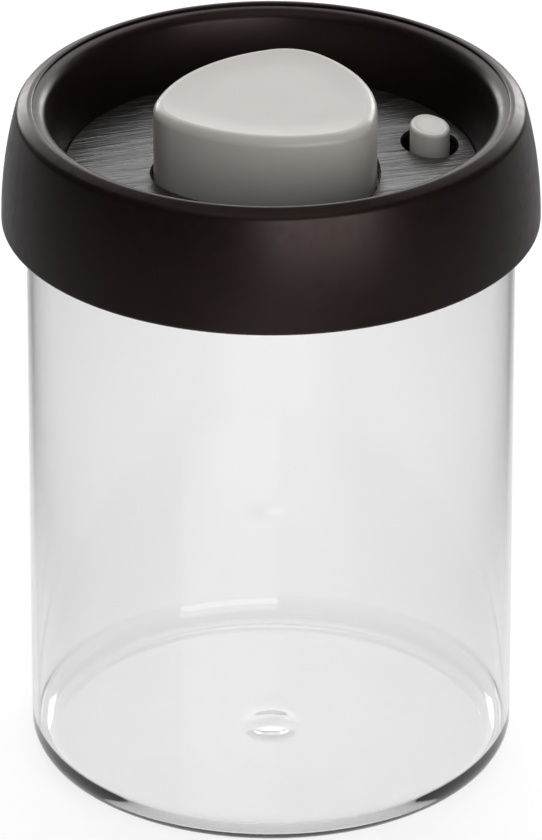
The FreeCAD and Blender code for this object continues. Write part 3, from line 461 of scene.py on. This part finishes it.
bm = bmesh.new()
first = bm.verts.new((DISH_RADIUS + DISH_WALL, 0, DECK_LOW))
last = step_to(bm, first, (DISH_RADIUS + DISH_WALL, DISC_TOP), *CAVITY_TOP)
last = arc_about(bm, last, (INNER_BOW_X, 0, BOW_Z), INNER_BOW_TURN, 24)
last = step_to(bm, last, (EDGE_INNER, EDGE_LOW), (EDGE_OUTER, EDGE_LOW))
last = arc_about(bm, last, (EDGE_OUTER, 0, BOW_Z), 90, 8)
last = arc_about(bm, last, (BOW_X, 0, BOW_Z), bow_turn, 32)
last = arc_about(bm, last, (shoulder_x, 0, SHOULDER_Z), 90 - bow_turn - CREST_SLOPE, 10)
last = step_to(bm, last, CREST_END)
last = arc_about(bm, last, RIDGE_CENTRE, RIDGE_TURN, 10)
last = step_to(bm, last, (ROLL_X, ROLL_Z + ROLL_RADIUS))
last = arc_about(bm, last, (ROLL_X, 0, ROLL_Z), ROLL_TURN, 16)
last = step_to(bm, last, (DISH_RADIUS, DISC_TOP), (DISH_RADIUS, DECK_LOW))
bm.edges.new((last, first))
spin_round(bm)
print("the lid's profile is turned into", len(bm.faces), "faces")

# %% Deck of the lid
DECK_TOP = 130.2
PUMP_DECK_GAP, HOLE_TOP_GAP, HOLE_LOW_GAP = 0.5, 1.7, 0.95
HOLE_REACH_X, HOLE_REACH_Y = 6, 8.5

lower = holed_plate(bm, DISH_RADIUS, PUMP_DECK_GAP, HOLE_TOP_GAP, DECK_TOP, DECK_TOP - DECK_LOW)
oval = [vert for vert in lower
        if abs(vert.co.x - RELEASE_X) < HOLE_REACH_X and abs(vert.co.y) < HOLE_REACH_Y]
narrower = [(half + HOLE_LOW_GAP) / (half + HOLE_TOP_GAP) for half in (OVAL_WIDTH, OVAL_LENGTH)]
bmesh.ops.translate(bm, verts=oval, vec=(-RELEASE_X, 0, 0))
bmesh.ops.scale(bm, vec=(*narrower, 1), verts=oval)
bmesh.ops.translate(bm, verts=oval, vec=(RELEASE_X, 0, 0))
finish_piece(bm, "outer_lid", lid_satin, "lid", "lid_shell", 25)

# %% [markdown]
# ## The wood-grain disc
# A thin plate on the dish floor, made as the deck is. Its upper edges are eased with a bevel, because no
# edge of a real moulding is quite sharp, and the eased edges catch a line of light.

# %% Wood disc
DISC_RADIUS, DISC_THICKNESS, DISC_EASE = 42.1, 1.2, 0.2
PUMP_DISC_GAP, RELEASE_DISC_GAP = 0.65, 1.8

bm = bmesh.new()
holed_plate(bm, DISC_RADIUS, PUMP_DISC_GAP, RELEASE_DISC_GAP, DISC_TOP, DISC_THICKNESS)
bmesh.ops.recalc_face_normals(bm, faces=bm.faces[:])
rim = [edge for edge in bm.edges
       if all(vert.co.z > DISC_TOP - DISC_EASE / 2 for vert in edge.verts)
       and any(abs(face.normal.z) < 0.5 for face in edge.link_faces)]
bmesh.ops.bevel(bm, geom=rim, offset=DISC_EASE, offset_type="OFFSET", affect="EDGES", segments=3,
                profile=0.5, material=-1)
finish_piece(bm, "wood_disc", wood, "lid", "inlay_disc")

# %% [markdown]
# ## The pump button
# A hollow cap on a stem, with a lip at its lower end that stays under the deck. Copies of the outline
# at several heights are bridged into one skin, the top edge is rolled over with a bevel, and the top is
# dished by insets that grow flatter towards the middle. Two hair-thin insets keep the rim crisp.
# Sculpting could shape the top too, but insets keep the outline's form all the way in.

# %% Helpers for skins
def stacked_outline(bm, outline, levels):
    """Bridge closed outlines, given as (grow, height), into one skin; returns the last loop."""
    last = []
    for grow, height in levels:
        before = set(bm.edges)
        outline(bm, grow, height)
        loop = [edge for edge in bm.edges if edge not in before]
        if last:
            bmesh.ops.bridge_loops(bm, edges=last + loop)
        last = loop
    return last


def turned_ring(bm, x, inner, outer, low, high, steps=64):
    """Spin a rectangle between two radii and two heights round an upright axis at x."""
    corners = ((inner, high), (inner, low), (outer, low), (outer, high))
    verts = [bm.verts.new((x + radius, 0, height)) for radius, height in corners]
    edges = [bm.edges.new((verts[index - 1], verts[index])) for index in range(len(verts))]
    bmesh.ops.spin(bm, geom=verts + edges, cent=(x, 0, 0), axis=UP, angle=math.tau, steps=steps,
                   use_merge=True)


# %% Helpers for rounded and dished tops
LEVEL_GAP = 1e-4


def roll_top(bm, loop, radius, segments):
    """Close the last loop, round its edge and return the flat top that is left."""
    top = bmesh.ops.edgeloop_fill(bm, edges=loop)["faces"][0]
    height = top.verts[0].co.z
    bmesh.ops.bevel(bm, geom=top.edges[:], offset=radius, offset_type="OFFSET", affect="EDGES",
                    segments=segments, profile=0.5, material=-1)
    flats = [face for face in bm.faces
             if all(abs(vert.co.z - height) < LEVEL_GAP for vert in face.verts)]
    return max(flats, key=lambda face: face.calc_area())


def dish_face(bm, face, steps):
    """Sink a face by insets, each (width, fall) from the rim towards the middle."""
    if face.normal.z < 0:
        bmesh.ops.reverse_faces(bm, faces=[face])
    for width, fall in steps:
        bmesh.ops.inset_region(bm, faces=[face], thickness=width, depth=-fall, use_even_offset=True)


# %% Pump button
PUMP_TOP, PUMP_CEILING = 147.0, 144.8
PUMP_WALL, PUMP_ROUND = 1.8, 2.0
LIP_REACH, LIP_LOW, LIP_TOP = 1.2, 126.85, 128.25
STEM_BORE, STEM_RADIUS, STEM_LOW = 1.5, 4.5, 127.4
SEAT_INNER, SEAT_OUTER, SEAT_LOW = 14.7, 15.9, 142.3
PUMP_DISH = ((0.03, 0), (0.04, 0.006), (0.9, 0.13), (1, 0.125), (1, 0.11), (1, 0.09), (1, 0.07),
             (1, 0.045), (1, 0.02))

bm = bmesh.new()
loop = stacked_outline(bm, button_outline, (
    (-PUMP_WALL, PUMP_CEILING), (-PUMP_WALL, LIP_LOW), (LIP_REACH, LIP_LOW), (LIP_REACH, LIP_TOP),
    (0, LIP_TOP), (0, PUMP_TOP)))
top = roll_top(bm, loop, PUMP_ROUND, 12)
dish_face(bm, top, PUMP_DISH)
ceiling = [edge for edge in bm.edges if edge.is_boundary]
bmesh.ops.edgeloop_fill(bm, edges=ceiling)
turned_ring(bm, 0, STEM_BORE, STEM_RADIUS, STEM_LOW, PUMP_CEILING)
turned_ring(bm, 0, SEAT_INNER, SEAT_OUTER, SEAT_LOW, PUMP_CEILING)
bmesh.ops.recalc_face_normals(bm, faces=bm.faces[:])
print("open edges left on the pump button:", sum(edge.is_boundary for edge in bm.edges))
finish_piece(bm, "pump_cap", button_satin, "pump", "pump_button")

# %% [markdown]
# ## The release button
# A small oval head on a round shank. It is made as the pump button is: a skin of outlines, a rolled
# top edge and a faint dish. The bore for its spring goes up into the head, by circles that are bridged.

# %% Release button
HEAD_LOW, HEAD_TOP, HEAD_ROUND = 127.2, 135.7, 0.8
BORE_RADIUS, BORE_TOP, BORE_STEPS = 3.05, 130.0, 48
GRIP_RADIUS, GRIP_TOP = 1.42, 133.5
SHANK_RADIUS, SHANK_LOW = 3.95, 121.0
RELEASE_DISH = ((0.05, 0), (0.05, 0.02), (0.35, 0.16), (0.5, 0.1), (0.5, 0.04))


def ring_outline(bm, x, radius, height):
    """A circle of edges at one height."""
    before = set(bm.edges)
    made = bmesh.ops.create_circle(bm, cap_ends=False, radius=radius, segments=BORE_STEPS)
    bmesh.ops.translate(bm, verts=made["verts"], vec=(x, 0, height))
    return [edge for edge in bm.edges if edge not in before]


bm = bmesh.new()
loop = stacked_outline(bm, oval_outline, ((0, HEAD_LOW), (0, HEAD_TOP)))
under = [edge for edge in bm.edges
         if all(abs(vert.co.z - HEAD_LOW) < LEVEL_GAP for vert in edge.verts)]
top = roll_top(bm, loop, HEAD_ROUND, 6)
dish_face(bm, top, RELEASE_DISH)
for radius, height in ((BORE_RADIUS, HEAD_LOW), (BORE_RADIUS, BORE_TOP), (GRIP_RADIUS, BORE_TOP),
                       (GRIP_RADIUS, GRIP_TOP)):
    ring = ring_outline(bm, RELEASE_X, radius, height)
    bmesh.ops.bridge_loops(bm, edges=under + ring)
    under = ring
bmesh.ops.edgeloop_fill(bm, edges=under)
turned_ring(bm, RELEASE_X, BORE_RADIUS, SHANK_RADIUS, SHANK_LOW, HEAD_LOW)
bmesh.ops.recalc_face_normals(bm, faces=bm.faces[:])
print("open edges left on the release button:", sum(edge.is_boundary for edge in bm.edges))
finish_piece(bm, "release_cap", release_satin_painted_light, "release", "release_button")

# %% [markdown]
# ## The springs
# Two steel springs push the buttons up. A spring is a small ring of wire spun about an upright axis
# while it climbs: one slow turn at each end and open turns between. A curve with a round section could
# draw it too, but the spun ring is a plain mesh, and each spring has to squash with its button.

# %% Springs
END_GAP = 0.02
CLOSED_RISE = 0.55
COIL_STEPS = 48
WIRE_STEPS = 14


def coil_spring(name, node, x, radius, wire, turns, low, high):
    """Spin a ring of wire into a spring with closed ends."""
    bm = bmesh.new()
    ring = bmesh.ops.create_circle(bm, cap_ends=True, radius=wire / 2, segments=WIRE_STEPS)["verts"]
    bmesh.ops.rotate(bm, verts=ring, cent=(0, 0, 0), matrix=Matrix.Rotation(math.pi / 2, 3, "X"))
    bottom, top = low + wire / 2 + END_GAP, high - wire / 2 - END_GAP
    bmesh.ops.translate(bm, verts=ring, vec=(x + radius, 0, bottom))
    closed = wire + CLOSED_RISE
    geometry = bm.faces[:] + bm.edges[:] + bm.verts[:]
    for count, rise in ((1, closed), (turns - 2, top - bottom - 2 * closed), (1, closed)):
        steps = round(COIL_STEPS * count)
        made = bmesh.ops.spin(bm, geom=geometry, cent=(x, 0, 0), axis=UP, dvec=(0, 0, rise / steps),
                              angle=math.tau * count, steps=steps, use_merge=False)
        geometry = made["geom_last"]
    bmesh.ops.recalc_face_normals(bm, faces=bm.faces[:])
    piece = finish_piece(bm, name, steel, "lid", node)
    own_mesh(piece)


coil_spring("pump_coil", "pump_spring", x=0, radius=17.35, wire=1.8, turns=6.5,
            low=116.25, high=PUMP_CEILING)
coil_spring("release_coil", "release_spring", x=RELEASE_X, radius=2.225, wire=0.5,
            turns=7, low=117.8, high=BORE_TOP)

# %% [markdown]
# ## Finishes for the carried-over pieces
# The inner lid, gasket, pump cylinder, piston and fasteners keep their solid shapes, because the outer
# pieces hide most of them. They only need a finish, which goes into each object's own material slots.

# %% Dress the carried-over pieces
DRESS = {
    base_satin: ["lid_base"],
    adhesive: ["inlay_adhesive"],
    inner_satin: ["pump_cylinder", "piston_head", "release_stem"],
    silicone: ["jar_gasket", "cylinder_seal", "inlet_valve", "piston_cup", "release_seal"],
    steel: ["deck_screws", "cup_washer", "piston_screw"],
}
for material, names in DRESS.items():
    for name in names:
        mesh = nodes[name].data
        mesh.materials.clear()
        mesh.materials.append(material)
print("carried over:", sum(len(names) for names in DRESS.values()))

# %% [markdown]
# ## The table
# The canister stands on a plain table top, which lies a hair under the foot so that the two faces
# never fight for one place. It takes the shadow, and it glows a little to the camera, to gloss and
# through glass. A soft pool of that glow, painted light with no lamp behind it, lies round the jar
# and behind it, as far as the picture reaches, and shows white. Beside the painted pool the table is
# light grey, and that grey, bent into view where the glass turns away, draws the fine edge line of the
# jar. An evenly white table would lose it.

# %% Helpers for the table
# Sizes of the painted pool of light on the floor, across and along the camera's direction, in metres.
PAINTED_POOL_ACROSS = (0.060, 0.145)
PAINTED_POOL_ALONG = (0.34, 0.75)


def seen_ray(tree):
    """1 for rays of the camera, of gloss and through glass; 0 for rays that only carry light."""
    path = tree.nodes.new("ShaderNodeLightPath").outputs
    mirrored = combine(tree, "MAXIMUM", path["Is Camera Ray"], path["Is Glossy Ray"])
    return combine(tree, "MAXIMUM", mirrored, path["Is Transmission Ray"])


def painted_light_pool(tree):
    """A painted pool of light: 1 in a soft patch round the jar, long in the camera's direction, and 0
    outside.
    """
    place = tree.nodes.new("ShaderNodeTexCoord")
    turn = tree.nodes.new("ShaderNodeMapping")
    turn.inputs["Rotation"].default_value = (0, 0, -CAMERA_TURN)
    split = tree.nodes.new("ShaderNodeSeparateXYZ")
    tree.links.new(place.outputs["Object"], turn.inputs["Vector"])
    tree.links.new(turn.outputs["Vector"], split.inputs["Vector"])
    sideways = combine(tree, "ABSOLUTE", split.outputs["X"])
    lengthways = combine(tree, "ABSOLUTE", split.outputs["Y"])
    return combine(tree, "MULTIPLY", between(tree, sideways, 1, 0, PAINTED_POOL_ACROSS, smooth=True),
                   between(tree, lengthways, 1, 0, PAINTED_POOL_ALONG, smooth=True))


# %% Table
TABLE_RADIUS = 1.25
TABLE_DROP = 0.05 * MM
# The floor's glow beside the painted pool of light, and inside it.
GLOW_BESIDE, PAINTED_POOL_GLOW = 0.16, 0.80

floor_finish, tree, shader = new_finish("floor_with_painted_pool")
shade = tint(tree, noise(tree, 3), (0.27, 0.27, 0.27), (0.29, 0.29, 0.29))
tree.links.new(shade, shader.inputs["Base Color"])
shader.inputs["Roughness"].default_value = 0.9
shader.inputs["Specular IOR Level"].default_value = 0.0
shader.inputs["Emission Color"].default_value = (1, 1, 1, 1)
# Painted light: the floor glows strongly in a pool round the jar and behind it, and only faintly beside
# it.
painted_pool = between(tree, painted_light_pool(tree), GLOW_BESIDE, PAINTED_POOL_GLOW, (0, 1))
glow = combine(tree, "MULTIPLY", seen_ray(tree), painted_pool)
tree.links.new(glow, shader.inputs["Emission Strength"])

bm = bmesh.new()
table = bmesh.ops.create_circle(bm, cap_ends=True, radius=TABLE_RADIUS, segments=96)["verts"]
bmesh.ops.translate(bm, verts=table, vec=(0, 0, -TABLE_DROP))
floor = to_object(bm, "floor", floor_finish)
print("floor laid")

# %% [markdown]
# ## World and lamps
# The room is dim, so that the dark lid keeps its depth. A wide panel behind and above lights the tops
# and gives the disc its gloss. A low strip under it adds a little to tops and crest, and two small
# panels beside the strip draw the bright crest of the lid on the left and on the right. A weak panel
# overhead fills in, and a large one in front, a little to the right, makes the soft patch of light on
# the lid's front and lights the sides of the buttons. Panels are used rather than points, because a
# large panel gives soft shadows and a broad gloss.

# %% World and lamps
WORLD_STRENGTH = 0.11
LAMP_DISTANCE = 1.3
LAMPS = (
    # name, turn from the camera and rise in degrees, width and height in metres, watts
    ("back_panel", 180, 43, 1.4, 1.2, 11.6),
    ("back_strip", 180, 13, 1.0, 0.26, 2.0),
    ("back_left", -152, 13, 0.4, 0.33, 3.1),
    ("back_right", 152, 13, 0.4, 0.33, 3.6),
    ("front_fill", 0, 72, 1.1, 1.0, 2.6),
    ("front_strip", 21, 5, 1.15, 1.3, 17.5),
)

world = bpy.data.worlds.new("studio")
bpy.context.scene.world = world
world.use_nodes = True
sky = world.node_tree.nodes["Background"]
sky.inputs["Color"].default_value = (1, 1, 1, 1)
sky.inputs["Strength"].default_value = WORLD_STRENGTH

for name, turn, rise, width, height, power in LAMPS:
    data = bpy.data.lights.new(name, "AREA")
    data.shape = "RECTANGLE"
    data.size = width
    data.size_y = height
    data.energy = power
    place_round_jar(name, data, CAMERA_TURN + math.radians(turn), math.radians(rise), LAMP_DISTANCE)
bpy.context.scene.view_settings.view_transform = "Standard"
print("lamps:", len(bpy.data.lights))
